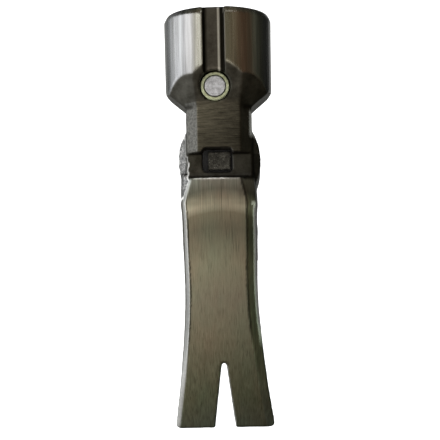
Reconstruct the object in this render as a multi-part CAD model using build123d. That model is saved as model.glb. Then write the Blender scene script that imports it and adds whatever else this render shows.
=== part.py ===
"""A claw hammer for tacks and small nails, with a magnetic nail starter and a tubular steel handle.

Millimetres. +Z runs up the handle to the head, +Y towards the striking face, and X across the head.
The origin is the centre of the hanging hole in the butt. Each sub-part is one node in parts/.
"""

import os
from itertools import pairwise
from math import asin, atan2, cos, pi, radians, sin, tan

from build123d import *

# ---- overall ----
axis_height = 297.0  # hanging hole to the poll's axis
butt_drop = 13.0  # hanging hole to the bottom of the butt

# ---- poll, the round striking end ----
poll_reach = 42.0  # handle axis to the crown of the face
poll_face_d = 30.0  # across the poll just behind the face
poll_back_d = 29.6  # across the poll at its back corner
poll_back_y = 18.9  # handle axis to that corner
face_crown = 0.9  # how far the face bulges
face_chamfer_length = 1.7  # along the poll
face_chamfer_depth = 0.9
face_edge_r = 0.7  # rounding of the chamfer's two edges

# ---- neck between the poll and the eye ----
neck_width = 18.2
neck_height = 18.0
neck_chamfer = 3.2
neck_front = 14.4  # handle axis to where the neck meets the shoulders
shoulder_side_angle = 50.0  # from the poll's axis, on the two sides
shoulder_top_angle = 26.5  # the same, on top and below
shoulder_ridge_x = 10.0  # where the shoulders' ridges end, level with the face
shoulder_ridge_z = 2.0

# ---- nail starter ----
groove_x = -0.9  # the nail's channel lies a little left of the poll's middle
groove_width = 5.8
groove_depth = 2.8
magnet_x = -0.8
magnet_y = 19.6
magnet_d = 5.7
magnet_height = 4.0
magnet_edge = 0.25
magnet_fit = 0.25  # between the magnet and its sleeve, all round
sleeve_wall = 0.8
sleeve_height = 4.6
sleeve_edge = 0.2
sleeve_top_below_crown = 4.2  # below the top of the poll
magnet_top_below_sleeve = 0.15
bond_thickness = 0.4
pocket_gap = 0.35  # open ring around the sleeve
pocket_gap_depth = 0.9

# ---- saddle and window, above the eye ----
saddle_front = 1.6  # handle axis to the neck's end of the saddle
saddle_length = 6.9
saddle_depth = 3.0
saddle_corner = 1.6
window_x = -0.6  # left of the middle, like the groove
window_y = -0.3  # a little behind the handle axis, with the wedge in its middle
window_width = 8.2
window_length = 6.4
window_corner = 1.0

# ---- socket and eye ----
socket_width = 22.6
socket_length = 27.4
socket_top_drop = 2.0  # below the neck's top
socket_top_bevel = 3.4
socket_skirt = 22.0  # below the poll's axis
socket_lip = 1.2
eye_top = 3.0  # above the poll's axis

# ---- claw ----
claw_reach = 73.7  # handle axis to the tips
crest_y = 12.2  # behind the handle axis
crest_z = 9.5  # above the poll's axis
claw_rise_angle = 8.0  # climb of the top from the saddle to the crest
claw_start_angle = 6.0  # fall of the top just behind the crest
claw_radius = 145.0  # of the top's downward curve
claw_root_thickness = 17.0
claw_tip_thickness = 1.7
claw_thinning = 1.7  # how early the claw thins: 1 is an even taper
claw_root_half = 10.7
claw_waist_half = 10.1
claw_tip_half = 14.1
claw_waist_y = 36.0
claw_flare = 1.5  # how late the claw widens: 1 is an even flare
claw_root_x = -0.45  # the claw leaves the socket this far to the left, and ends in the middle
claw_edge_left = 1.5  # the slope along the left top edge, seen from above
claw_edge_right = 2.8  # the same, on the right
claw_edge_drop = 2.2
claw_belly = 0.45  # share of the side that lies above the widest line
claw_side_draft = 0.6
claw_root_y = 4.0  # behind the handle axis, where the claw's root starts
claw_root_start_half = 10.4
claw_root_top_left = 6.8  # half of the root's flat top, on the left of its middle
claw_root_flank = 4.0  # height of the root's side above its widest line
claw_corner = 1.6
slot_length = 18.0
slot_mouth = 5.8
slot_apex_r = 0.7

# ---- handle tube ----
tube_width = 16.0
tube_depth = 21.0
tube_wall = 1.6
tube_foot = 10.0  # above the hanging hole

# ---- locking wedge and core plug ----
wedge_x = -0.1
wedge_width = 6.3
wedge_length = 5.2
wedge_tip_length = 1.4
wedge_edge = 0.3
wedge_below_saddle = 1.1
wedge_depth = 24.0
core_plug_length = 34.0

# ---- strike collar under the head ----
collar_wall = 2.0
collar_length = 26.0
collar_lip = 0.8
rib_height = 0.7
rib_width = 3.0
rib_pitch = 5.6
rib_count = 4
rib_round = 0.3

# ---- grip: a rigid core, and a soft cover moulded over it ----
grip_length = 150.0  # above the hanging hole
grip_top_width = 21.0
grip_top_depth = 27.0
waist_share = 0.3  # of the grip's length, from the butt
waist_width = 22.2
waist_depth = 28.6
palm_share = 0.6
palm_width = 23.8
palm_depth = 33.0
butt_width = 23.6
butt_depth = 37.0
butt_shift = 1.6  # the butt's middle lies forward of the handle's axis
grip_top_round = 1.2
grip_butt_round = 4.0
grip_floor = 3.0  # of the cover, under the butt plug
grip_seal = 4.0  # the cover grips the bare tube above the core
core_wall = 1.2
island_width = 11.0
island_bottom = 46.0
island_top_margin = 26.0
island_below_cover = 0.4
island_gap = 0.25

# ---- butt plug, its pin and the hanging eyelet ----
spigot_length = 26.0
spigot_fit = 0.1
pin_d = 4.0
pin_wall = 0.7
pin_slit = 0.6
pin_above_foot = 14.0
pin_recess = 0.3  # its ends lie inside the tube's wall
hang_hole_d = 8.0
hang_seat_half = 10.6  # handle axis to the flat that each washer lies on
eyelet_wall = 0.5
eyelet_lip = 0.9
washer_d = 12.6
washer_thickness = 0.7
washer_gap = 0.4  # around the washer in its seat

# ---- worked out from the above ----
poll_r = poll_face_d / 2
neck_top = neck_height / 2
saddle_floor = neck_top - saddle_depth
saddle_back = saddle_front - saddle_length
bore_r = magnet_d / 2 + magnet_fit
sleeve_r = bore_r + sleeve_wall
sleeve_top = poll_r - sleeve_top_below_crown
sleeve_foot = sleeve_top - sleeve_height
magnet_foot = sleeve_top - magnet_top_below_sleeve - magnet_height
wedge_top = saddle_floor - wedge_below_saddle
tube_top = axis_height + eye_top
tube_bore_width = tube_width - 2 * tube_wall
tube_bore_depth = tube_depth - 2 * tube_wall
core_width = tube_width + 2 * core_wall
core_depth = tube_depth + 2 * core_wall
core_foot = grip_floor - butt_drop
eyelet_r = hang_hole_d / 2 + eyelet_wall
outside = 60.0  # longer than any cut has to be
on_floor = (Align.CENTER, Align.CENTER, Align.MIN)


def solid_of(shape):
    """The one solid that a boolean leaves, without its wrapper."""
    solids = shape.solids()
    assert len(solids) == 1, f"{len(solids)} solids where one was meant"
    return solids[0]


def section_at(y, points):
    """A closed face of (x, z) points in the plane at that y."""
    corners = [(x, y, z) for x, z in points]
    return Face(Wire.make_polygon([Vector(*c) for c in corners], close=True))


def chamfered_box(half_width, bottom, top, chamfer_x, chamfer_z):
    """The eight (x, z) corners of a bar with its four long edges cut off."""
    inner = half_width - chamfer_x
    right = [
        (inner, top),
        (half_width, top - chamfer_z),
        (half_width, bottom + chamfer_z),
        (inner, bottom),
    ]
    return right + [(-x, z) for x, z in reversed(right)]


def ellipse_column(width, depth, low, high):
    """An upright column of elliptical section, from height low to height high."""
    sketch = Plane.XY.offset(low) * Ellipse(width / 2, depth / 2)
    return extrude(sketch, amount=high - low)


# ---- the head, in its own frame: origin where the handle's axis meets the poll's ----


def poll():
    """The round poll with its crowned face, flared a little towards the face."""
    face_flat = poll_r - face_chamfer_depth
    back_r = poll_back_d / 2
    edge_y = poll_reach - face_crown
    side_top_y = edge_y - face_chamfer_length
    dome_r = (face_flat**2 + face_crown**2) / (2 * face_crown)
    half_way = asin(face_flat / dome_r) / 2
    with BuildPart() as made:
        with BuildSketch(Plane.YZ):
            with BuildLine():
                Polyline(
                    (0, 0),
                    (0, back_r),
                    (poll_back_y, back_r),
                    (side_top_y, poll_r),
                    (edge_y, face_flat),
                )
                ThreePointArc(
                    (edge_y, face_flat),
                    (poll_reach - dome_r * (1 - cos(half_way)), dome_r * sin(half_way)),
                    (poll_reach, 0),
                )
                Line((poll_reach, 0), (0, 0))
            make_face()
        revolve(axis=Axis.Y)
    round_body = Rot(0, 180, 0) * made.part  # its seam goes underneath, clear of the groove
    rims = round_body.edges().filter_by(GeomType.CIRCLE)
    rims = rims.filter_by(lambda e: e.center().Y > side_top_y - face_crown)
    return fillet(rims, face_edge_r) & shoulders()


def shoulders():
    """The octagonal flare that trims the back of the poll down to the neck."""
    run = poll_reach
    rise = run * tan(radians(shoulder_top_angle))
    spread = run * tan(radians(shoulder_side_angle))
    neck = chamfered_box(
        neck_width / 2, -neck_height / 2, neck_height / 2, neck_chamfer, neck_chamfer
    )
    wide = neck_width / 2 + spread
    high = neck_height / 2 + rise
    flare = chamfered_box(
        wide, -high, high, wide - shoulder_ridge_x, high - shoulder_ridge_z
    )
    return loft(
        [section_at(neck_front, neck), section_at(neck_front + run, flare)], ruled=True
    )


def neck():
    """The chamfered bar from the shoulders to behind the eye."""
    points = chamfered_box(
        neck_width / 2, -neck_height / 2, neck_height / 2, neck_chamfer, neck_chamfer
    )
    return loft([section_at(neck_front, points), section_at(saddle_back, points)], ruled=True)


def claw_top(behind):
    """Height of the claw's top at a distance behind the crest."""
    return crest_z - behind * tan(radians(claw_start_angle)) - behind**2 / (2 * claw_radius)


def claw_half(y):
    """Half of the claw's width at a distance y behind the handle axis."""
    if y <= claw_waist_y:
        share = (claw_waist_y - y) / (claw_waist_y - crest_y)
        return claw_waist_half + (claw_root_half - claw_waist_half) * share**2
    share = (y - claw_waist_y) / (claw_reach - claw_waist_y)
    return claw_waist_half + (claw_tip_half - claw_waist_half) * share**claw_flare


def off_centre(y, right, left):
    """An outline from its two halves, moved to the claw's middle at a distance y."""
    shift = claw_root_x * (claw_reach - y) / (claw_reach - claw_root_y)
    points = right + [(-x, z) for x, z in reversed(left)]
    return [(x + shift, z) for x, z in points]


def claw_section(y):
    """The claw's section at a distance y behind the handle axis, at or behind the crest."""
    along = (y - crest_y) / (claw_reach - crest_y)
    top = claw_top(y - crest_y)
    spare = claw_root_thickness - claw_tip_thickness
    thick = claw_tip_thickness + spare * (1 - along) ** claw_thinning
    half = claw_half(y)
    drop = min(claw_edge_drop, thick * claw_belly)
    middle = top - drop - (thick - drop) * claw_belly
    flank = [
        (half - claw_side_draft * (1 - along), top - drop),
        (half, middle),
        (half - claw_side_draft, top - thick),
    ]
    right = [(half - claw_edge_right, top), *flank]
    left = [(half - claw_edge_left, top), *flank]
    return section_at(-y, off_centre(y, right, left))


def claw_blade():
    """The curved claw behind the crest, before its slot is cut."""
    stations = 8
    step = (claw_reach - crest_y) / (stations - 1)
    sections = [claw_section(crest_y + step * i) for i in range(stations)]
    return loft(sections)


def claw_root():
    """The straight run from the saddle up to the crest."""
    top = claw_top(0) - (crest_y - claw_root_y) * tan(radians(claw_rise_angle))
    half = claw_root_start_half
    shoulder = top - neck_chamfer
    flank = [
        (half - claw_side_draft, shoulder),
        (half, shoulder - claw_root_flank),
        (half - claw_side_draft, crest_z - claw_root_thickness),
    ]
    right = [(neck_width / 2 - neck_chamfer, top), *flank]
    left = [(claw_root_top_left, top), *flank]
    front = section_at(-claw_root_y, off_centre(claw_root_y, right, left))
    return loft([front, claw_section(crest_y)], ruled=True)


def tip_corner(side):
    """What rounding takes off the claw's tip on one side, 1 for right and -1 for left."""
    corner = Pos(side * outside / 2, -outside / 2) * Rectangle(outside, outside)
    round_end = corner - Circle(claw_corner)
    cut = extrude(round_end, amount=outside, both=True)
    return Pos(side * (claw_tip_half - claw_corner), claw_corner - claw_reach, 0) * cut


def claw_slot():
    """The tapering nail slot between the claw's two tips."""
    mouth_y = -claw_reach
    apex_y = mouth_y + slot_length
    half_angle = atan2(slot_mouth / 2 - slot_apex_r, slot_length - slot_apex_r)
    past = slot_mouth
    mouth_half = slot_mouth / 2 + past * tan(half_angle)
    tangent_x = slot_apex_r * cos(half_angle)
    tangent_y = apex_y - slot_apex_r + slot_apex_r * sin(half_angle)
    with BuildSketch() as outline:
        with BuildLine():
            Line((-mouth_half, mouth_y - past), (-tangent_x, tangent_y))
            ThreePointArc((-tangent_x, tangent_y), (0, apex_y), (tangent_x, tangent_y))
            Line((tangent_x, tangent_y), (mouth_half, mouth_y - past))
            Line((mouth_half, mouth_y - past), (-mouth_half, mouth_y - past))
        make_face()
    through = extrude(outline.sketch, amount=outside, both=True)
    return through


def socket():
    """The upright oval socket that holds the handle."""
    top = neck_top - socket_top_drop
    body = ellipse_column(socket_width, socket_length, -socket_skirt, top)
    upper = body.faces().sort_by(Axis.Z)[-1]
    body = chamfer(upper.edges(), length=socket_top_bevel)
    lower = body.faces().sort_by(Axis.Z)[0]
    return fillet(lower.edges(), socket_lip)


def saddle_cut():
    """The rounded trough across the top of the head."""
    middle = (saddle_front + saddle_back) / 2
    with BuildSketch(Plane.YZ) as profile:
        with Locations((middle, saddle_floor + outside / 2)):
            Rectangle(saddle_length, outside)
        low = profile.vertices().sort_by(Axis.Z)[:2]
        fillet(low, saddle_corner)
    return extrude(profile.sketch, amount=outside, both=True)


def window_cut():
    """The rectangular window from the saddle down into the eye."""
    sketch = RectangleRounded(window_width, window_length, window_corner)
    return Pos(window_x, window_y, 0) * extrude(sketch, amount=outside)


def nail_groove():
    """The nail's channel along the top of the poll, from the face to the magnet."""
    cut = Box(groove_width, outside, outside, align=(Align.CENTER, Align.MIN, Align.MIN))
    return Pos(groove_x, magnet_y, poll_r - groove_depth) * cut


def magnet_pocket():
    """The bore for the sleeve, with an open ring around the sleeve's upper end."""
    seat = Pos(0, 0, sleeve_foot - bond_thickness) * Cylinder(sleeve_r, outside, align=on_floor)
    ring = Pos(0, 0, sleeve_top - pocket_gap_depth) * Cylinder(
        sleeve_r + pocket_gap, outside, align=on_floor
    )
    return Pos(magnet_x, magnet_y, 0) * (seat + ring)


def hammer_head():
    """The forged head, one solid."""
    body = poll() + neck() + claw_root() + claw_blade() + socket()
    body = body - saddle_cut() - window_cut() - nail_groove() - magnet_pocket() - claw_slot()
    body = body - tip_corner(1) - tip_corner(-1)
    body = body - ellipse_column(tube_width, tube_depth, -outside, eye_top)
    return solid_of(body)


def magnet_sleeve():
    """The brass sleeve that holds the magnet."""
    ring = Cylinder(sleeve_r, sleeve_height, align=on_floor)
    ring = ring - Cylinder(bore_r, sleeve_height, align=on_floor)
    ring = chamfer(ring.faces().sort_by(Axis.Z)[-1].edges(), sleeve_edge)
    return solid_of(Pos(magnet_x, magnet_y, sleeve_foot) * ring)


def nail_magnet():
    """The nickel-plated disc magnet that holds the nail's head."""
    disc = Cylinder(magnet_d / 2, magnet_height, align=on_floor)
    disc = fillet(disc.faces().sort_by(Axis.Z)[-1].edges(), magnet_edge)
    return solid_of(Pos(magnet_x, magnet_y, magnet_foot) * disc)


def magnet_bond():
    """The set adhesive under the sleeve and the magnet."""
    under = Cylinder(sleeve_r, bond_thickness, align=on_floor)
    inside = Cylinder(bore_r, magnet_foot - sleeve_foot, align=on_floor)
    pad = under + Pos(0, 0, bond_thickness) * inside
    return solid_of(Pos(magnet_x, magnet_y, sleeve_foot - bond_thickness) * pad)


# ---- the handle's locking, still in the head's frame ----


def wedge_shape():
    """The wedge's taper, with sharp edges, which is also the slot it cuts."""
    top = wedge_length / 2
    tip = wedge_tip_length / 2
    foot = wedge_top - wedge_depth
    side = Plane.YZ * Polygon((-top, wedge_top), (-tip, foot), (tip, foot), (top, wedge_top), align=None)
    return Pos(wedge_x, window_y, 0) * extrude(side, amount=wedge_width / 2, both=True)


def eye_wedge():
    """The steel wedge that spreads the tube in the eye; its end shows in the window."""
    wedge = wedge_shape()
    return solid_of(chamfer(wedge.faces().sort_by(Axis.Z)[-1].edges(), wedge_edge))


def core_plug():
    """The nylon plug inside the tube's top, split by the wedge."""
    plug = ellipse_column(tube_bore_width, tube_bore_depth, eye_top - core_plug_length, eye_top)
    return solid_of(plug - wedge_shape())


# ---- the handle, from here on in the hanging hole's frame ----


def cross_hole(radius, height):
    """A round cut right through along X at that height."""
    return Pos(0, 0, height) * Rot(0, 90, 0) * Cylinder(radius, 2 * outside)


def handle_tube():
    """The oval steel tube, from the eye down into the grip."""
    tube = ellipse_column(tube_width, tube_depth, tube_foot, tube_top)
    tube = tube - ellipse_column(tube_bore_width, tube_bore_depth, tube_foot, tube_top)
    return solid_of(tube - cross_hole(pin_d / 2, tube_foot + pin_above_foot))


def strike_collar():
    """The ribbed rubber sleeve that takes missed blows, under the socket."""
    top = axis_height - socket_skirt
    low = top - collar_length
    width = tube_width + 2 * collar_wall
    depth = tube_depth + 2 * collar_wall
    collar = ellipse_column(width, depth, low, top)
    collar = fillet(collar.faces().sort_by(Axis.Z)[0].edges(), collar_lip)
    first = top - collar_length / 2 - rib_pitch * (rib_count - 1) / 2
    for i in range(rib_count):
        middle = first + rib_pitch * i
        rib = ellipse_column(
            width + 2 * rib_height,
            depth + 2 * rib_height,
            middle - rib_width / 2,
            middle + rib_width / 2,
        )
        collar = collar + fillet(rib.edges(), rib_round)
    return solid_of(collar - ellipse_column(tube_width, tube_depth, low, top))


def grip_size(share):
    """Width, depth and forward shift of the grip at a share of its length, counted from the butt."""
    stops = [
        (0.0, butt_width, butt_depth, butt_shift),
        (waist_share, waist_width, waist_depth, 0.0),
        (palm_share, palm_width, palm_depth, 0.0),
        (1.0, grip_top_width, grip_top_depth, 0.0),
    ]
    for low, high in pairwise(stops):
        if share <= high[0]:
            along = (share - low[0]) / (high[0] - low[0])
            ease = (1 - cos(pi * along)) / 2
            return [a + (b - a) * ease for a, b in zip(low[1:], high[1:])]


def grip_form(inset):
    """The grip's outer form, from the butt to its top, taken in all round by the inset."""
    run = grip_length + butt_drop
    spans = 14
    sections = []
    for i in range(spans + 1):
        width, depth, shift = grip_size(i / spans)
        oval = Ellipse(width / 2 - inset, depth / 2 - inset)
        sections.append(Pos(0, shift, i / spans * run - butt_drop) * oval)
    return loft(sections)


def island_outline(gap):
    """The long rounded window on each side of the grip, right through, widened by the gap."""
    length = grip_length - island_top_margin - island_bottom
    middle = island_bottom + length / 2
    outline = Rot(0, 0, 90) * SlotOverall(length + 2 * gap, island_width + 2 * gap)
    return Pos(0, 0, middle) * extrude(Plane.YZ * outline, amount=outside, both=True)


def hang_cuts():
    """The hanging hole and the flat seats for its two washers."""
    seat_depth = outside - hang_seat_half
    seat = Rot(0, 90, 0) * Cylinder(washer_d / 2 + washer_gap, seat_depth, align=on_floor)
    right = Pos(hang_seat_half, 0, 0) * seat
    left = Pos(-outside, 0, 0) * seat
    return cross_hole(eyelet_r, 0) + right + left


def grip_core():
    """The rigid sleeve on the tube, with an island that shows in each side of the cover."""
    sleeve = ellipse_column(core_width, core_depth, core_foot, grip_length - grip_seal)
    islands = grip_form(island_below_cover) & island_outline(0)
    body = sleeve + islands - ellipse_column(tube_width, tube_depth, core_foot, grip_length)
    return solid_of(body - hang_cuts())


def grip_cover():
    """The soft cover over the core, closed under the butt."""
    form = grip_form(0)
    form = fillet(form.faces().sort_by(Axis.Z)[0].edges(), grip_butt_round)
    form = fillet(form.faces().sort_by(Axis.Z)[-1].edges(), grip_top_round)
    form = form - ellipse_column(core_width, core_depth, core_foot, grip_length - grip_seal)
    form = form - ellipse_column(tube_width, tube_depth, tube_foot, grip_length)
    return solid_of(form - island_outline(island_gap) - hang_cuts())


def butt_plug():
    """The nylon plug that closes the tube and carries the hanging hole."""
    body = ellipse_column(tube_width, tube_depth, core_foot, tube_foot)
    spigot = ellipse_column(
        tube_bore_width - 2 * spigot_fit,
        tube_bore_depth - 2 * spigot_fit,
        tube_foot,
        tube_foot + spigot_length,
    )
    holes = cross_hole(pin_d / 2, tube_foot + pin_above_foot) + cross_hole(eyelet_r, 0)
    return solid_of(body + spigot - holes)


def butt_pin():
    """The slit spring pin across the tube and the plug's spigot."""
    length = tube_width - 2 * pin_recess
    pin = Cylinder(pin_d / 2, length) - Cylinder(pin_d / 2 - pin_wall, length)
    pin = pin - Pos(pin_d / 2, 0, 0) * Box(pin_d, pin_slit, length)
    return solid_of(Pos(0, 0, tube_foot + pin_above_foot) * Rot(0, 90, 0) * pin)


def hang_eyelet():
    """The steel eyelet that lines the hanging hole, rolled over both washers."""
    seat = hang_seat_half + washer_thickness
    length = 2 * (seat + eyelet_wall)
    lip = Cylinder(eyelet_r + eyelet_lip, eyelet_wall)
    body = Cylinder(eyelet_r, length)
    for side in (-1, 1):
        body = body + Pos(0, 0, side * (seat + eyelet_wall / 2)) * lip
    body = body - Cylinder(hang_hole_d / 2, length)
    return solid_of(Rot(0, 90, 0) * body)


def eyelet_washers():
    """The two washers under the eyelet's rolled ends, one on each side."""
    washer = Cylinder(washer_d / 2, washer_thickness) - Cylinder(eyelet_r, washer_thickness)
    middle = hang_seat_half + washer_thickness / 2
    return Compound([Pos(side * middle, 0, 0) * Rot(0, 90, 0) * washer for side in (-1, 1)])


def lifted(shape):
    """A piece moved from the head's frame to the hanging hole's."""
    return Pos(0, 0, axis_height) * shape


parts = {
    "hammer_head": lifted(hammer_head()),
    "magnet_sleeve": lifted(magnet_sleeve()),
    "nail_magnet": lifted(nail_magnet()),
    "magnet_bond": lifted(magnet_bond()),
    "eye_wedge": lifted(eye_wedge()),
    "core_plug": lifted(core_plug()),
    "handle_tube": handle_tube(),
    "strike_collar": strike_collar(),
    "grip_core": grip_core(),
    "grip_cover": grip_cover(),
    "butt_plug": butt_plug(),
    "butt_pin": butt_pin(),
    "hang_eyelet": hang_eyelet(),
    "eyelet_washers": eyelet_washers(),
}

os.makedirs("parts", exist_ok=True)
for name, shape in parts.items():
    export_step(shape, f"parts/{name}.step")
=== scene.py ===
"""Looks for the tack hammer: forged head, magnet, tube and grip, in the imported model's own frame."""

import bmesh
import bpy
import numpy as np
from math import cos, hypot, pi, radians, sin
from mathutils import Matrix, Vector, kdtree, noise


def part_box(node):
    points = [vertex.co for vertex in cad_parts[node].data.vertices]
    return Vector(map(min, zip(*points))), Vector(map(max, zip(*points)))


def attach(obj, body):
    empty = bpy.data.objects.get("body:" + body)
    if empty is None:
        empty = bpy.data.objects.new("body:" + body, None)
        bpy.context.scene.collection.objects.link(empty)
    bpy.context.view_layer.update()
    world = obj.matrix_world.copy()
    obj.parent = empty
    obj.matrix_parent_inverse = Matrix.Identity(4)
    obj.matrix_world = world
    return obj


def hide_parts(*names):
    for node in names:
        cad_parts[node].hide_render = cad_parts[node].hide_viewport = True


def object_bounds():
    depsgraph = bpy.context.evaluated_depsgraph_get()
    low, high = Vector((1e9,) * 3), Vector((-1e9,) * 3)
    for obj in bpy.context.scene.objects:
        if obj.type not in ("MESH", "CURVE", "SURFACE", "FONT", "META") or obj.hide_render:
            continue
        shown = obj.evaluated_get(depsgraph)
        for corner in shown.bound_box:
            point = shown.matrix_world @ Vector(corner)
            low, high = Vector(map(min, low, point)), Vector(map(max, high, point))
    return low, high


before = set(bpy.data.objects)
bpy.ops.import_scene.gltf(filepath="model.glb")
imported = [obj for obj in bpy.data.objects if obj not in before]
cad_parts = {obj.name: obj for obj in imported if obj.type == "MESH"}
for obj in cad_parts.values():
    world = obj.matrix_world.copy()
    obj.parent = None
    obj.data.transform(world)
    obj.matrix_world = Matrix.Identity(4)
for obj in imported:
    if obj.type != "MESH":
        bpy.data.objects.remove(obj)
cad_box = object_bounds()

MM = 0.001
MICRON = 0.000001
GOLDEN_U, GOLDEN_V = 0.7548776662, 0.5698402910  # steps of an even two-way scatter
MARKS = (
    "polish", "channel", "flat", "lit_facet", "notch_shade", "lip", "brushed",
    "left_slope_highlight", "right_slope_reflection", "line", "cheek", "crease_shade", "rim_highlight",
)  # finishes, and painted light and shade, stored on the head's vertices

# ---- the head's own sizes, in millimetres from the middle of the poll's axis over the handle ----
poll_r = 15.0
poll_back_r = 14.8
poll_back_y = 18.9
poll_front_y = 39.4
channel_x = -0.9
channel_half = 2.9
channel_back_y = 16.0
neck_front_y = 15.5
saddle_front_y = 1.6
saddle_back_y = -5.3
crest_y = -12.2
crest_turn = 0.245  # the change of slope over the crest
crest_bow = 0.022  # per millimetre: the crest lies further back towards the claw's two edges
claw_tip_y = -73.7
crown_gap = 0.25  # the channel takes the crown, so the highest point lies below the poll's full radius

# ---- places in metres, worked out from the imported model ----
head_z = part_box("hammer_head")[1].z + (crown_gap - poll_r) * MM
floor_z = cad_box[0][2]

# ---- tones read along the head, with painted light and shade in them: (place from 0 to 1, colour) ----
claw_shaded_tones = (  # from the tips to the saddle: painted shade and light along the claw, with a painted highlight band on the crest near 0.9
    (0.02, (0.265, 0.32, 0.272)),
    (0.14, (0.29, 0.325, 0.235)),
    (0.36, (0.33, 0.315, 0.235)),
    (0.52, (0.305, 0.29, 0.225)),
    (0.66, (0.33, 0.315, 0.235)),
    (0.80, (0.198, 0.187, 0.141)),
    (0.86, (0.264, 0.242, 0.180)),
    (0.893, (0.59, 0.553, 0.443)),
    (0.925, (0.55, 0.52, 0.425)),
    (0.955, (0.354, 0.354, 0.30)),
    (1.0, (0.54, 0.555, 0.51)),
)
poll_reflection_bands = (  # painted reflections across the poll from its left side to its right, cool on the left and brown on the right
    (0.03, (0.65, 0.67, 0.68)),
    (0.055, (0.54, 0.55, 0.56)),
    (0.10, (0.82, 0.82, 0.84)),
    (0.145, (0.64, 0.64, 0.66)),
    (0.173, (0.84, 0.85, 0.87)),
    (0.193, (0.60, 0.60, 0.62)),
    (0.23, (0.98, 0.98, 1.0)),
    (0.268, (0.74, 0.74, 0.74)),
    (0.303, (0.55, 0.54, 0.48)),
    (0.325, (0.90, 0.89, 0.78)),
    (0.40, (0.83, 0.82, 0.76)),
    (0.60, (0.74, 0.71, 0.59)),
    (0.67, (1.0, 0.95, 0.84)),
    (0.737, (0.66, 0.55, 0.49)),
    (0.80, (0.64, 0.54, 0.47)),
    (0.845, (1.0, 0.98, 0.93)),
    (0.89, (0.50, 0.48, 0.43)),
    (0.94, (0.50, 0.51, 0.53)),
)
room_tones = (  # from straight down to straight up
    (0.04, (0.42, 0.42, 0.40)),
    (0.12, (0.030, 0.030, 0.027)),
    (0.30, (0.025, 0.026, 0.022)),
    (0.50, (0.070, 0.074, 0.056)),
    (0.80, (0.10, 0.068, 0.042)),
    (0.97, (0.15, 0.135, 0.095)),
)


# ---- studio ----


def paper():
    """Grey paper that gives off soft light of its own."""
    material = bpy.data.materials.new("paper")
    material.use_nodes = True
    shader = material.node_tree.nodes["Principled BSDF"]
    shader.inputs["Base Color"].default_value = (0.5, 0.5, 0.5, 1)
    shader.inputs["Roughness"].default_value = 0.95
    shader.inputs["Emission Color"].default_value = (1, 1, 1, 1)
    shader.inputs["Emission Strength"].default_value = 0.8
    return material


def backdrop():
    """A pale floor and a pale shell around the room, which light the hammer but aren't mirrored in it."""
    bpy.ops.mesh.primitive_plane_add(size=14, location=(0, 0, floor_z))
    floor = bpy.context.object
    floor.name = "floor"
    bpy.ops.mesh.primitive_uv_sphere_add(segments=48, ring_count=24, radius=7, location=(0, 0, 0))
    shell = bpy.context.object
    shell.name = "backdrop"
    shell.visible_shadow = False
    material = paper()
    for piece in (floor, shell):
        piece.visible_glossy = False
        piece.data.materials.append(material)


def soft_light(name, place, width, height, power, tint):
    """A rectangular light that faces the head, at a place in metres from it."""
    data = bpy.data.lights.new(name, "AREA")
    data.shape = "RECTANGLE"
    data.size = width
    data.size_y = height
    data.energy = power
    data.color = tint
    lamp = bpy.data.objects.new(name, data)
    bpy.context.scene.collection.objects.link(lamp)
    lamp.location = Vector(place) + Vector((0, 0, head_z))
    lamp.rotation_euler = (-Vector(place)).to_track_quat("-Z", "Y").to_euler()


def room():
    """A dim, warm room: lightest overhead, dark low down on every side, and pale straight below."""
    world = bpy.data.worlds.new("room")
    bpy.context.scene.world = world
    world.use_nodes = True
    nodes, links = world.node_tree.nodes, world.node_tree.links
    split = nodes.new("ShaderNodeSeparateXYZ")
    links.new(nodes.new("ShaderNodeTexCoord").outputs["Generated"], split.inputs[0])
    height = nodes.new("ShaderNodeMapRange")
    height.inputs["From Min"].default_value = -1.0
    links.new(split.outputs["Z"], height.inputs["Value"])
    ramp = nodes.new("ShaderNodeValToRGB")
    links.new(height.outputs["Result"], ramp.inputs["Fac"])
    set_stops(ramp, room_tones)
    links.new(ramp.outputs["Color"], nodes["Background"].inputs["Color"])


def set_stops(ramp, stops):
    """Gives a colour ramp its (place, colour) stops."""
    elements = ramp.color_ramp.elements
    while len(elements) < len(stops):
        elements.new(0.5)
    for element, (place, colour) in zip(elements, stops):
        element.position = place
        element.color = (*colour, 1)


def studio():
    """The backdrop, the room, a window and two papers on the left, and lights ahead and overhead."""
    backdrop()
    room()
    soft_light("left_window", (-0.75, 0.05, 0.25), 0.9, 0.95, 2.3, (0.97, 0.98, 1.0))
    soft_light("left_bounce", (-0.7, -0.1, -0.02), 1.5, 1.1, 2.0, (0.98, 1.0, 1.0))
    soft_light("left_paper", (-0.40, -0.05, -0.29), 1.2, 0.5, 0.25, (0.98, 1.0, 1.0))
    soft_light("front_card", (0.05, 0.80, 0.70), 0.8, 0.4, 0.8, (0.95, 0.98, 1.0))
    soft_light("overhead", (0.0, -0.35, 1.1), 0.9, 0.9, 1.75, (1.0, 0.97, 0.90))
    bpy.context.scene.view_settings.view_transform = "Standard"


def camera():
    """Straight down on the head, from a little towards the claw, so that the head hides the handle."""
    distance = 0.425
    picture_width = 0.1222  # what the picture spans at the target
    lean, swing, roll = radians(8.0), radians(1.0), radians(-1.1)
    target = Vector((-0.0003, -0.0162, head_z))
    eye = Vector((0, 0, head_z)) + distance * Vector(
        (sin(swing), -sin(lean) * cos(swing), cos(lean) * cos(swing))
    )
    data = bpy.data.cameras.new("camera")
    data.sensor_width = 36.0
    data.lens = data.sensor_width * (eye - target).length / picture_width
    cam = bpy.data.objects.new("camera", data)
    bpy.context.scene.collection.objects.link(cam)
    back = (eye - target).normalized()
    right = Vector((0, 1, 0)).cross(back).normalized()
    up = back.cross(right)
    turn = Matrix((right, up, back)).transposed() @ Matrix.Rotation(roll, 3, "Z")
    cam.matrix_world = Matrix.Translation(eye) @ turn.to_4x4()
    bpy.context.scene.camera = cam


# ---- finishes ----


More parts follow.
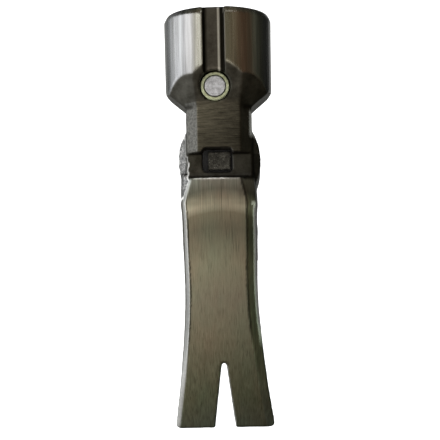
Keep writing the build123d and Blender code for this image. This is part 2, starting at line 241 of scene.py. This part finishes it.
class Finish:
    """A material being built: each call adds one node and returns the socket to use next."""

    def __init__(self, name):
        self.material = bpy.data.materials.new(name)
        self.material.use_nodes = True
        self.nodes = self.material.node_tree.nodes
        self.links = self.material.node_tree.links
        self.shader = self.nodes["Principled BSDF"]
        self.coords = self.nodes.new("ShaderNodeTexCoord").outputs["Object"]

    def feed(self, socket, value):
        """Links a socket, or sets a plain value, on an input."""
        if isinstance(value, bpy.types.NodeSocket):
            self.links.new(value, socket)
        else:
            socket.default_value = value

    def put(self, name, value):
        """Feeds one of the shader's own inputs."""
        self.feed(self.shader.inputs[name], value)
        return self

    def stretched(self, scale):
        """Object coordinates, scaled by different amounts along X, Y and Z."""
        node = self.nodes.new("ShaderNodeMapping")
        node.inputs["Scale"].default_value = scale
        self.links.new(self.coords, node.inputs["Vector"])
        return node.outputs["Vector"]

    def grain(self, scale, detail=3.0, rough=0.55, seed=0.0, warp=0.0):
        """Fractal noise. The scale is in cycles per metre, one number or one for each axis."""
        node = self.nodes.new("ShaderNodeTexNoise")
        node.noise_dimensions = "4D"
        if isinstance(scale, tuple):
            self.links.new(self.stretched(scale), node.inputs["Vector"])
            node.inputs["Scale"].default_value = 1.0
        else:
            self.links.new(self.coords, node.inputs["Vector"])
            node.inputs["Scale"].default_value = scale
        node.inputs["Detail"].default_value = detail
        node.inputs["Roughness"].default_value = rough
        node.inputs["Distortion"].default_value = warp
        node.inputs["W"].default_value = seed
        return node.outputs["Fac"]

    def span(self, value, low, high, to_low=0.0, to_high=1.0):
        """Maps low..high onto to_low..to_high, held at both ends."""
        node = self.nodes.new("ShaderNodeMapRange")
        node.clamp = True
        self.feed(node.inputs["Value"], value)
        for name, number in (
            ("From Min", low),
            ("From Max", high),
            ("To Min", to_low),
            ("To Max", to_high),
        ):
            node.inputs[name].default_value = number
        return node.outputs["Result"]

    def maths(self, kind, first, second=0.0):
        """One arithmetic step on two numbers."""
        node = self.nodes.new("ShaderNodeMath")
        node.operation = kind
        self.feed(node.inputs[0], first)
        self.feed(node.inputs[1], second)
        return node.outputs[0]

    def product(self, first, *others):
        """Numbers multiplied."""
        for other in others:
            first = self.maths("MULTIPLY", first, other)
        return first

    def away(self, value, centre):
        """How far a number is from a centre."""
        return self.maths("ABSOLUTE", self.maths("SUBTRACT", value, centre))

    def blend(self, share, first, second):
        """Mixes two colours, or two numbers, by a share."""
        node = self.nodes.new("ShaderNodeMix")
        colours = isinstance(first, tuple) or isinstance(second, tuple)
        colours = colours or getattr(first, "type", "") == "RGBA"
        node.data_type = "RGBA" if colours else "FLOAT"
        ends = ("A_Color", "B_Color") if colours else ("A_Float", "B_Float")
        sockets = {s.identifier: s for s in node.inputs}
        self.feed(sockets["Factor_Float"], share)
        for end, value in zip(ends, (first, second)):
            value = (*value, 1.0) if isinstance(value, tuple) else value
            self.feed(sockets[end], value)
        outputs = {s.identifier: s for s in node.outputs}
        return outputs["Result_Color" if colours else "Result_Float"]

    def ramp(self, value, stops):
        """A colour read off a strip of (place, colour) stops."""
        node = self.nodes.new("ShaderNodeValToRGB")
        self.links.new(value, node.inputs["Fac"])
        set_stops(node, stops)
        return node.outputs["Color"]

    def times(self, first, second):
        """Two colours multiplied."""
        node = self.nodes.new("ShaderNodeMix")
        node.data_type = "RGBA"
        node.blend_type = "MULTIPLY"
        sockets = {s.identifier: s for s in node.inputs}
        sockets["Factor_Float"].default_value = 1.0
        self.feed(sockets["A_Color"], first)
        self.feed(sockets["B_Color"], second)
        return {s.identifier: s for s in node.outputs}["Result_Color"]

    def toned(self, colour, share, low, high):
        """A colour times low where the share is 0 and times high where it is 1. Plain numbers are greys."""
        low, high = ((v, v, v) if isinstance(v, float) else v for v in (low, high))
        return self.times(colour, self.blend(share, low, high))

    def mark(self, name):
        """A number stored on the piece's vertices."""
        node = self.nodes.new("ShaderNodeAttribute")
        node.attribute_name = name
        return node.outputs["Fac"]

    def axis(self, name):
        """One of the object's own coordinates, in millimetres."""
        node = self.nodes.new("ShaderNodeSeparateXYZ")
        self.links.new(self.coords, node.inputs[0])
        return self.maths("DIVIDE", node.outputs[name], MM)

    def relief(self, height, depth, below=None):
        """Raises the surface by height times depth, in metres, on top of another relief."""
        node = self.nodes.new("ShaderNodeBump")
        node.inputs["Strength"].default_value = 1.0
        node.inputs["Distance"].default_value = depth
        self.feed(node.inputs["Height"], height)
        if below is not None:
            self.links.new(below, node.inputs["Normal"])
        return node.outputs["Normal"]


def neck_colour(steel, x, y, cross):
    """The neck's flat, ground across: painted shade darkens it to the right, away from the light on the
    left, and it is darker towards the saddle.
    """
    ground = steel.blend(steel.span(cross, 0.36, 0.64), (0.080, 0.074, 0.055), (0.27, 0.25, 0.195))
    # painted shade: darker to the right, away from the light on the left
    ground = steel.toned(ground, steel.span(x, -6, 6), 1.2, 0.55)
    return steel.toned(ground, steel.span(y, 6, 12), 0.75, 1.12)


def channel_colour(steel, x, blotch):
    """The nail's channel: dark, with one painted highlight line, a painted black shadow band beside it, and
    painted shade on its left wall.
    """
    # painted highlight: a bright line along the channel's floor
    line = steel.span(steel.away(x, 0.45), 0.15, 0.40, 1, 0)
    # painted shadow: the black band beside the line; painted shade: the dark left wall
    step = steel.span(x, 0.85, 1.05)
    wall_shade = steel.span(x, channel_x - 1.6, channel_x - 2.4)
    floor = steel.blend(steel.span(blotch, 0.3, 0.7), (0.11, 0.10, 0.085), (0.20, 0.185, 0.16))
    floor = steel.blend(line, floor, (0.80, 0.78, 0.72))
    return steel.blend(steel.maths("MAXIMUM", step, wall_shade), floor, (0.015, 0.014, 0.010))


def claw_colour(steel, x, y, pits, lines):
    """The claw, brushed along, with light and shade painted in: a painted highlight band on the crest,
    lighter on the left and darker on the right, a painted highlight on the left slope, a painted greenish
    reflection on the right one, and a painted dark shade line beside each.
    """
    bowed = steel.maths("ADD", y, steel.product(x, x, crest_bow))
    # painted light along the claw: shade and a highlight band on the crest from the tones
    satin = steel.ramp(steel.span(bowed, claw_tip_y, saddle_back_y), claw_shaded_tones)
    satin = steel.toned(satin, steel.span(lines, 0.25, 0.75), 0.70, 1.30)
    scratches = steel.grain((5200.0, 26.0, 900.0), 2.0, 0.5, 9.0)
    satin = steel.toned(satin, steel.span(scratches, 0.60, 0.66), 1.0, 0.62)
    # painted light: lighter on the left, where the light falls, and darker on the right
    satin = steel.toned(satin, steel.span(x, -9, 9), (1.20, 1.20, 1.21), 0.80)
    patch = steel.grain((120.0, 60.0, 60.0), 3.0, 0.6, 7.0)
    satin = steel.toned(satin, steel.span(patch, 0.35, 0.65), (1.05, 0.96, 0.94), (0.95, 1.0, 0.97))
    # painted highlight: the left slope, which faces the light, is paler, more so towards the root
    left = steel.blend(steel.span(pits, 0.3, 0.7), (0.50, 0.50, 0.485), (0.64, 0.64, 0.62))
    left = steel.toned(left, steel.span(y, -42, -26), 1.0, 1.38)
    satin = steel.blend(steel.mark("left_slope_highlight"), satin, left)
    # painted reflection: the right slope is lifted and turned greener, least near the tips
    right = steel.toned(satin, steel.span(y, -66, -45), (1.0, 1.12, 1.3), (1.8, 2.25, 2.2))
    satin = steel.blend(steel.mark("right_slope_reflection"), satin, right)
    # painted shade: a dark line at the top of each slope
    return steel.blend(steel.mark("line"), satin, (0.035, 0.035, 0.028))


def poll_colour(steel, x, y, along, broad):
    """The poll, polished lengthwise, with painted reflections in soft light and dark bands, and darker
    towards the neck.
    """
    # painted reflection: soft light and dark streaks along the polish
    mirror = steel.blend(steel.span(broad, 0.38, 0.62), (0.53, 0.525, 0.51), (0.84, 0.84, 0.835))
    mirror = steel.toned(mirror, steel.span(along, 0.35, 0.65), 0.87, 1.10)
    mirror = steel.toned(mirror, steel.span(y, 21, 31), 0.84, 1.0)
    sway = 0.9  # millimetres from the furthest left to the furthest right that a band wanders
    wavy = steel.maths("ADD", x, steel.product(steel.maths("SUBTRACT", broad, 0.5), sway))
    # painted reflection: bands of light and dark across the poll, cool on the left and brown on the right
    return steel.times(mirror, steel.ramp(steel.span(wavy, -poll_r, poll_r), poll_reflection_bands))


def poll_land(steel, x, y, polish):
    """A share that marks the narrow, duller land to the left of the channel, short of the front chamfer."""
    across = steel.product(steel.span(x, -5.6, -4.8), steel.span(x, -3.8, -4.4))
    return steel.product(across, steel.span(polish, 0.5, 1.0), steel.span(y, 39.2, 38.6))


def cheek_ridge_glints(steel, x, cheek):
    """A share that marks painted glints on thin ridges of the left cheek and along its border, only on the
    left, where the light falls.
    """
    veins = steel.grain((420.0, 260.0, 420.0), 3.0, 0.65, 8.0, 1.0)
    vein = steel.span(steel.away(veins, 0.5), 0.002, 0.018, 0.8, 0)
    border = steel.span(steel.product(cheek, steel.maths("SUBTRACT", 1.0, cheek)), 0.08, 0.2)
    ridge_glints = steel.maths("MAXIMUM", steel.product(cheek, vein), border)
    return steel.product(ridge_glints, steel.span(x, -4, -6))


def head_steel():
    """Forged steel: polished poll, ground neck, brushed claw, and scale left where nothing was ground, with
    painted light, shade and reflections in its colour.
    """
    steel = Finish("head_steel")
    x, y = steel.axis("X"), steel.axis("Y")
    polish, brushed, flat, cheek = (steel.mark(name) for name in ("polish", "brushed", "flat", "cheek"))
    blotch = steel.grain(260.0, 4.0, 0.6, 1.0)
    pits = steel.grain(1500.0, 5.0, 0.65, 2.0)
    cross = steel.grain((210.0, 2300.0, 300.0), 5.0, 0.75, 6.0)
    lines = steel.grain((3800.0, 60.0, 900.0), 2.0, 0.6, 5.0)
    along = steel.grain((2600.0, 45.0, 2600.0), 3.0, 0.6, 3.0)
    broad = steel.grain((560.0, 24.0, 560.0), 3.0, 0.6, 4.0)

    # forge scale, dark and mottled, and over it the areas that were ground, machined or polished, each with
    # its painted light and shade
    colour = steel.blend(steel.span(blotch, 0.35, 0.65), (0.065, 0.062, 0.050), (0.15, 0.145, 0.125))
    colour = steel.blend(flat, colour, neck_colour(steel, x, y, cross))
    # painted light: a lighter grey on the neck's left facet, which faces the light
    lit_facet = steel.blend(steel.span(pits, 0.35, 0.65), (0.09, 0.089, 0.082), (0.29, 0.285, 0.262))
    colour = steel.blend(steel.mark("lit_facet"), colour, lit_facet)
    colour = steel.blend(steel.mark("channel"), colour, channel_colour(steel, x, blotch))
    colour = steel.blend(brushed, colour, claw_colour(steel, x, y, pits, lines))
    colour = steel.blend(polish, colour, poll_colour(steel, x, y, along, broad))
    land = poll_land(steel, x, y, polish)
    colour = steel.blend(land, colour, (0.66, 0.65, 0.56))

    # rough cheeks, painted shade in the creases, and bare metal where edges are worn
    bare = steel.blend(steel.span(pits, 0.35, 0.65), (0.125, 0.125, 0.122), (0.42, 0.42, 0.42))
    # the cheek share, stronger on the left, paints the left cheek paler as painted light
    colour = steel.blend(cheek, colour, bare)
    ridge_glints = cheek_ridge_glints(steel, x, cheek)
    # painted glints: bright ridge lines on the left cheek
    colour = steel.blend(ridge_glints, colour, (0.74, 0.74, 0.72))
    # painted shade: dark along the inner edges
    colour = steel.blend(steel.product(steel.mark("crease_shade"), 0.8), colour, (0.03, 0.028, 0.022))
    # painted shade: dark low in the saddle's notch
    colour = steel.blend(steel.product(steel.mark("notch_shade"), 0.5), colour, (0.02, 0.02, 0.016))
    chips = steel.span(steel.grain(900.0, 3.0, 0.7, 11.0), 0.40, 0.60, 0.10, 0.75)
    lip = steel.product(steel.mark("lip"), chips)
    colour = steel.blend(lip, colour, (0.66, 0.65, 0.60))
    rim_highlight = steel.mark("rim_highlight")
    # painted highlight: a pale strip along the lower edge of the right slopes
    colour = steel.blend(rim_highlight, colour, (0.105, 0.107, 0.095))

    rough = steel.span(pits, 0.3, 0.7, 0.38, 0.58)
    rough = steel.blend(brushed, rough, steel.span(lines, 0.3, 0.7, 0.34, 0.46))
    rough = steel.blend(polish, rough, steel.span(along, 0.3, 0.7, 0.18, 0.30))

    plain = steel.maths("SUBTRACT", 1.0, steel.maths("MAXIMUM", polish, brushed))
    normal = steel.relief(steel.product(pits, plain), 0.10 * MM)
    normal = steel.relief(steel.product(cross, flat), 0.06 * MM, normal)
    normal = steel.relief(steel.product(lines, brushed), 0.05 * MM, normal)
    normal = steel.relief(steel.product(along, polish), 0.012 * MM, normal)

    # worn strips, the painted glints on the ridges and the painted rim highlight are dull and pale, so they
    # mirror less of the room
    dull = steel.maths("MAXIMUM", lip, steel.product(ridge_glints, 0.7))
    dull = steel.maths("MAXIMUM", dull, rim_highlight)
    dull = steel.maths("MAXIMUM", dull, steel.product(land, 0.45))
    metallic = steel.span(dull, 0.0, 1.0, 1.0, 0.2)
    steel.put("Base Color", colour).put("Metallic", metallic).put("Roughness", rough).put("Normal", normal)
    return steel.material


def plain_metal(name, dark, light, rough, depth, scale, metallic=1.0):
    """A metal with a mottled colour and a fine, even grain, in relief by a depth in millimetres."""
    metal = Finish(name)
    mottle = metal.grain(scale * 0.4, 4.0, 0.6, 1.0)
    fine = metal.grain(scale * 3, 3.0, 0.6, 2.0)
    metal.put("Base Color", metal.blend(metal.span(mottle, 0.35, 0.65), dark, light))
    metal.put("Metallic", metallic)
    metal.put("Roughness", metal.span(fine, 0.3, 0.7, rough * 0.85, rough * 1.15))
    metal.put("Normal", metal.relief(fine, depth * MM))
    return metal.material


def wedge_steel():
    """Rough blackened steel with bright specks where it was struck."""
    metal = Finish("wedge_steel")
    rough = metal.grain(1300.0, 5.0, 0.7, 1.0)
    specks = metal.grain(2600.0, 2.0, 0.5, 2.0)
    colour = metal.blend(metal.span(rough, 0.35, 0.65), (0.025, 0.024, 0.020), (0.15, 0.145, 0.125))
    colour = metal.blend(metal.span(specks, 0.60, 0.68), colour, (0.42, 0.41, 0.37))
    metal.put("Base Color", colour).put("Metallic", 0.9)
    metal.put("Roughness", metal.span(rough, 0.3, 0.7, 0.38, 0.6))
    metal.put("Normal", metal.relief(rough, 0.35 * MM))
    return metal.material


def tube_steel():
    """Drawn tube, brushed around and lightly scuffed along."""
    metal = Finish("tube_steel")
    rings = metal.grain((90.0, 90.0, 4200.0), 3.0, 0.6, 1.0)
    scuffs = metal.grain((1600.0, 1600.0, 60.0), 4.0, 0.7, 2.0)
    colour = metal.blend(metal.span(rings, 0.3, 0.7), (0.36, 0.36, 0.35), (0.52, 0.52, 0.50))
    colour = metal.blend(metal.span(scuffs, 0.62, 0.72), colour, (0.24, 0.235, 0.22))
    metal.put("Base Color", colour).put("Metallic", 0.6)
    metal.put("Roughness", metal.span(rings, 0.3, 0.7, 0.26, 0.36))
    metal.put("Normal", metal.relief(rings, 0.02 * MM))
    return metal.material


def rubber(name, shade, depth=0.05, scale=1400.0):
    """Matt rubber or nylon with a fine moulded grain, its depth in millimetres, and a little dust."""
    soft = Finish(name)
    grain = soft.grain(scale, 3.0, 0.6, 1.0)
    dust = soft.grain(240.0, 5.0, 0.65, 2.0)
    lighter = tuple(v * 1.5 + 0.004 for v in shade)
    soft.put("Base Color", soft.blend(soft.span(dust, 0.4, 0.7), shade, lighter))
    soft.put("Roughness", soft.span(grain, 0.3, 0.7, 0.55, 0.75))
    soft.put("Normal", soft.relief(grain, depth * MM))
    return soft.material


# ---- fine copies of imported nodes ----


def smooth_share(value, low, high):
    """0 below low, 1 above high, and a smooth rise between them."""
    share = min(max((value - low) / (high - low), 0.0), 1.0)
    return share * share * (3 - 2 * share)


def smooth_fall(value, low, high):
    """1 below low, 0 above high, and a smooth fall between them."""
    return 1 - smooth_share(value, low, high)


def merged_copy(node):
    """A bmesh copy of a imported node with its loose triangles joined."""
    shell = bmesh.new()
    shell.from_mesh(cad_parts[node].data)
    bmesh.ops.remove_doubles(shell, verts=shell.verts, dist=MICRON)
    return shell


def edge_points(shell, turn, convex):
    """A tree of points along the shell's sharp edges, those that stand out or those that are creases."""
    step = 0.25 * MM
    points = []
    sliver = 0.02 * MM * MM
    for edge in shell.edges:
        whole = all(face.calc_area() > sliver for face in edge.link_faces)
        if whole and edge.calc_face_angle(0) > turn and edge.is_convex == convex:
            first, last = (v.co for v in edge.verts)
            count = int((last - first).length / step) + 1
            points += [first.lerp(last, i / count) for i in range(count + 1)]
    tree = kdtree.KDTree(len(points))
    for i, point in enumerate(points):
        tree.insert(point, i)
    tree.balance()
    return tree


def surface_samples(mesh, pitch):
    """Points spread evenly over a mesh, each with the area that it stands for."""
    mesh.calc_loop_triangles()
    count = len(mesh.loop_triangles)
    corners = np.empty(count * 3, dtype=np.int32)
    mesh.loop_triangles.foreach_get("vertices", corners)
    places = np.empty(len(mesh.vertices) * 3, dtype=np.float32)
    mesh.vertices.foreach_get("co", places)
    a, b, c = places.reshape(-1, 3)[corners].reshape(-1, 3, 3).transpose(1, 0, 2)
    area = np.linalg.norm(np.cross(b - a, c - a), axis=1) / 2
    reach = np.maximum(np.linalg.norm(b - a, axis=1), np.linalg.norm(c - a, axis=1))
    number = (area / pitch**2 + reach / (2 * pitch)).astype(int) + 1
    owner = np.repeat(np.arange(count), number)
    turn = np.arange(len(owner))
    u, v = (turn * GOLDEN_U) % 1.0, (turn * GOLDEN_V) % 1.0
    over = u + v > 1
    u, v = np.where(over, 1 - u, u)[:, None], np.where(over, 1 - v, v)[:, None]
    points = a[owner] + u * (b - a)[owner] + v * (c - a)[owner]
    return points, (area / number)[owner]


def round_edges(form, near, source, radius):
    """Moves the vertices near sharp edges to the mean of the surface around them, which rounds them."""
    points, weights = surface_samples(source, 0.2 * MM)
    tree = kdtree.KDTree(len(points))
    for i, point in enumerate(points):
        tree.insert(point, i)
    tree.balance()
    for vert in near:
        total, place = 0.0, Vector((0, 0, 0))
        for point, i, away in tree.find_range(vert.co, radius):
            share = weights[i] * (1 - (away / radius) ** 2) ** 2
            total += share
            place += point * share
        if total > 0:
            vert.co = place / total


def fine_copy(node, voxel):
    """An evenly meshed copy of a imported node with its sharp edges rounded.

    Gives the object, its open bmesh, and the trees of its outer and inner edges.
    """
    sharp = radians(13)
    shell = merged_copy(node)
    outer = edge_points(shell, sharp, True)
    inner = edge_points(shell, sharp, False)
    mesh = bpy.data.meshes.new(node + "_fine")
    shell.to_mesh(mesh)
    shell.free()
    source = mesh.copy()
    piece = bpy.data.objects.new(node + "_fine", mesh)
    bpy.context.scene.collection.objects.link(piece)
    bpy.context.view_layer.objects.active = piece
    remesh = piece.modifiers.new("even", "REMESH")
    remesh.mode = "VOXEL"
    remesh.voxel_size = voxel
    bpy.ops.object.modifier_apply(modifier=remesh.name)
    wrap = piece.modifiers.new("true", "SHRINKWRAP")
    wrap.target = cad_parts[node]
    wrap.wrap_method = "NEAREST_SURFACEPOINT"
    bpy.ops.object.modifier_apply(modifier=wrap.name)

    form = bmesh.new()
    form.from_mesh(piece.data)
    near = []
    for vert in form.verts:
        reach = min(outer.find(vert.co)[2], inner.find(vert.co)[2])
        if reach < 0.9 * MM:
            near.append(vert)
    round_edges(form, near, source, 0.8 * MM)
    bpy.data.meshes.remove(source)
    bmesh.ops.smooth_vert(form, verts=near, factor=0.5, use_axis_x=True, use_axis_y=True, use_axis_z=True)
    form.normal_update()
    return piece, form, outer, inner


def place_copy(piece, form, node, material):
    """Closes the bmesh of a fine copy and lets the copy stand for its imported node."""
    form.to_mesh(piece.data)
    form.free()
    piece.data.polygons.foreach_set("use_smooth", [True] * len(piece.data.polygons))
    piece.data.materials.clear()
    piece.data.materials.append(material)
    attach(piece, "root")
    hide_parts(node)


# ---- the head ----


def poll_radius(y):
    """The poll's radius at that distance in front of the handle's axis, both in millimetres."""
    share = min(max((y - poll_back_y) / (poll_front_y - poll_back_y), 0.0), 1.0)
    return poll_back_r + (poll_r - poll_back_r) * share


def poll_marks(x, y, z):
    """Where the poll was polished, and where the nail's channel was cut through the polish."""
    off_channel = abs(x - channel_x)
    above = z > 9.5
    skin = smooth_share(hypot(x, z) - poll_radius(y), -0.35, -0.1) * (y > poll_back_y * 0.8)
    front = smooth_share(y, poll_front_y - 0.1, poll_front_y + 0.2)
    polish = max(skin, front)
    if above and off_channel < channel_half + 0.2:
        polish *= smooth_share(off_channel, channel_half - 0.2, channel_half + 0.1)
    in_channel = above and off_channel < channel_half - 0.05 and y > channel_back_y
    return {"polish": polish, "channel": float(in_channel)}


def neck_marks(x, y, z, normal, behind):
    """The neck's ground flat, its left facet painted lighter where the light falls, the painted shade low
    in the saddle's notch, and the worn back lip of the saddle.
    """
    flat = smooth_share(normal.z, 0.75, 0.92) * smooth_share(z, 8.0, 8.6)
    # painted light: only the left facet, which faces the light, is marked
    lit_facet = smooth_share(-normal.x, 0.35, 0.6) * smooth_share(z, 4.0, 5.0) * (abs(x) < 9.3)
    # painted shade: dark low in the saddle's notch
    notch_shade = smooth_fall(z, 6.6, 7.2) * smooth_share(x, -6.0, 6.0)
    lip = smooth_fall(abs(y - saddle_back_y + 0.12), 0.1, 0.42) * smooth_fall(abs(x + 2.2), 3.5, 5.6)
    return {
        "flat": flat * (1 - behind) * smooth_fall(y, 14.6, 16.8),
        "lit_facet": lit_facet * (saddle_back_y < y < neck_front_y),
        "notch_shade": notch_shade * (saddle_back_y < y < saddle_front_y),
        "lip": lip * smooth_share(z, 7.0, 7.6),
    }


def cheek_mark(x, y, z):
    """The rough cheeks on either side of the eye, with an uneven border, much stronger on the left, where
    painted light makes the left cheek paler than the right.
    """
    wobble = noise.noise(Vector((x * 0.3, y * 0.55, 3.0))) * 1.1
    cheek = smooth_share(abs(x) + wobble, 8.3, 8.9) * smooth_share(y, -11.5, -10.0) * (z < 7.6)
    ahead = smooth_share(y, 0.4, 1.2)
    cheek *= 1 - ahead + smooth_share(abs(x), 9.1, 9.5) * ahead
    left = smooth_fall(x, -1, 1)
    # painted light: the share is stronger on the left, which paints the left cheek paler and also raises
    # its lumps more
    return min(cheek, 1.0) * smooth_fall(y, 5.0, 9.0) * (left * 0.75 + 0.25)


def claw_marks(y, normal, behind):
    """The claw's brushed top, its two slopes, which take a painted highlight on the left and a painted
    reflection on the right, and the thin painted dark shade line at the top of each slope.
    """
    upward = smooth_share(normal.z, 0.15, 0.45)
    ease = 0.3 * smooth_fall(y, -62.0, -38.0)  # the left slope flattens towards the tip
    left = smooth_share(-normal.x, 0.55 - ease, 0.75 - ease) * upward
    right = smooth_share(normal.x, 0.15, 0.30) * smooth_fall(y, -15.0, -9.0)
    # painted shade: the dark lines are picked by how the surface faces
    left_line = smooth_share(-normal.x, 0.12, 0.25) * smooth_fall(-normal.x, 0.45, 0.62)
    left_line *= smooth_fall(y, -12.0, -9.0) * smooth_share(y, -60.0, -45.0)
    right_line = smooth_share(normal.x, 0.06, 0.15) * smooth_fall(normal.x, 0.48, 0.62)
    right_line *= smooth_share(y, -52.0, -45.0)
    return {
        "brushed": behind * upward,
        "left_slope_highlight": left * behind,
        "right_slope_reflection": right,
        "line": (left_line + right_line * 0.8) * behind,
    }


def crease_shade_mark(y, z, away):
    """Painted shade near an inner edge, which fades out where the neck's flat runs up to the poll."""
    clean = smooth_share(z, 7.5, 8.5) * smooth_share(y, 13.0, 14.0)
    return smooth_fall(away, 0.2, 1.0) * (1 - 0.8 * clean)


def rim_highlight_mark(y, normal, corner_x, away):
    """The painted highlight strip along the lower edge of the neck's and the claw's right slopes, like a
    rim light.

    The corner is the nearest point of an outer edge, and away is the distance to it.
    """
    width = 0.8 if y > 0 else 0.5
    strip = smooth_share(corner_x, 8.4, 8.7) * smooth_fall(away, width, width + 0.45)
    neck = smooth_share(y, 5.5, 7.0) * smooth_fall(y, 12.5, 14.0)
    claw = smooth_fall(y, -14.0, -11.5) * smooth_share(y, -52.0, -44.0)
    return strip * smooth_share(normal.x, 0.5, 0.6) * smooth_share(normal.z, -0.2, 0.1) * (neck + claw)


def head_marks(vert, outer, inner):
    """How a point of the head was finished, and where light and shade are painted on it: shares from 0 to
    1, from its place in millimetres.
    """
    x, y, z = (vert.co - Vector((0, 0, head_z))) / MM
    behind = smooth_fall(y, saddle_back_y - 0.3, saddle_back_y + 0.2)
    corner, _, away = outer.find(vert.co)
    return {
        **poll_marks(x, y, z),
        **neck_marks(x, y, z, vert.normal, behind),
        **claw_marks(y, vert.normal, behind),
        "cheek": cheek_mark(x, y, z),
        "crease_shade": crease_shade_mark(y, z, inner.find(vert.co)[2] / MM),
        "rim_highlight": rim_highlight_mark(y, vert.normal, corner.x / MM, away / MM),
    }


def crest_sink(y, normal):
    """How far the ridge of the crest is rounded down at y, on the faces that look up, in millimetres."""
    reach = 2.6
    near = max(reach - abs(y - crest_y), 0) * (normal.z > 0.4)
    return near**2 * crest_turn / (4 * reach)


def forged_rise(place, cheek):
    """How far forging lumps raise a point, in millimetres: little on plain scale, more on the cheeks."""
    lump = noise.fractal(place * 420, 1.0, 2.0, 4)
    ridge = 1 - abs(noise.fractal(place * 330 + Vector((7, 3, 1)), 1.0, 2.0, 3)) * 2.5
    return lump * (0.05 + 0.10 * cheek) + max(ridge, 0) * 0.22 * cheek - 0.1 * cheek


def head_piece():
    """The head, with forging lumps and marks that say how each part was finished and where light and shade
    are painted.
    """
    head, form, outer, inner = fine_copy("hammer_head", 0.38 * MM)
    layers = {name: form.verts.layers.float.new(name) for name in MARKS}
    for vert in form.verts:
        marks = head_marks(vert, outer, inner)
        for name, share in marks.items():
            vert[layers[name]] = share
        plain = (1 - marks["polish"]) * (1 - marks["brushed"])
        rise = forged_rise(vert.co, marks["cheek"])
        vert.co.z -= crest_sink(vert.co.y / MM, vert.normal) * MM
        vert.co += vert.normal * (rise * MM * plain)
    place_copy(head, form, "hammer_head", head_steel())


# ---- the grip's cover ----


def cover_piece():
    """The soft cover, with moulded grooves across its front and back."""
    groove_depth = 0.45 * MM
    cover, form, outer, inner = fine_copy("grip_cover", 0.62 * MM)
    low, high, pitch = 26.0 * MM, 132.0 * MM, 4.6 * MM
    for vert in form.verts:
        x, y, z = vert.co
        away = min(outer.find(vert.co)[2], inner.find(vert.co)[2])
        facing = vert.normal.dot(Vector((x, y, 0)).normalized())
        zone = smooth_share(z, low, low + pitch) * smooth_fall(z, high - pitch, high)
        zone *= smooth_share(abs(vert.normal.y), 0.50, 0.75) * smooth_share(away, 1.0 * MM, 2.2 * MM)
        groove = max(cos(2 * pi * z / pitch) - 0.45, 0) / 0.55
        if facing > 0.3:
            vert.co -= vert.normal * (groove * zone * groove_depth)
    place_copy(cover, form, "grip_cover", rubber("grip_rubber", (0.012, 0.012, 0.0125)))


def dress(node, material):
    """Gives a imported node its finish."""
    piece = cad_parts[node]
    piece.data.materials.clear()
    piece.data.materials.append(material)


# ---- the whole scene ----

studio()
camera()
head_piece()
cover_piece()

nickel = plain_metal("magnet_nickel", (0.34, 0.34, 0.35), (0.74, 0.74, 0.77), 0.42, 0.08, 2600.0, 0.75)
brass = plain_metal("sleeve_brass", (0.30, 0.31, 0.18), (0.62, 0.65, 0.43), 0.42, 0.08, 2200.0, 0.7)
zinc = plain_metal("eyelet_steel", (0.5, 0.5, 0.5), (0.66, 0.66, 0.67), 0.3, 0.015, 900.0)
dress("nail_magnet", nickel)
dress("magnet_sleeve", brass)
dress("eye_wedge", wedge_steel())
dress("handle_tube", tube_steel())
dress("hang_eyelet", zinc)
dress("eyelet_washers", zinc)
dress("butt_pin", zinc)
dress("strike_collar", rubber("collar_rubber", (0.012, 0.012, 0.012)))
dress("grip_core", rubber("core_nylon", (0.055, 0.062, 0.045), 0.03, 900.0))
dress("core_plug", rubber("plug_nylon", (0.02, 0.02, 0.02)))
dress("butt_plug", rubber("plug_nylon_butt", (0.02, 0.02, 0.02)))
dress("magnet_bond", rubber("bond_epoxy", (0.4, 0.36, 0.25)))
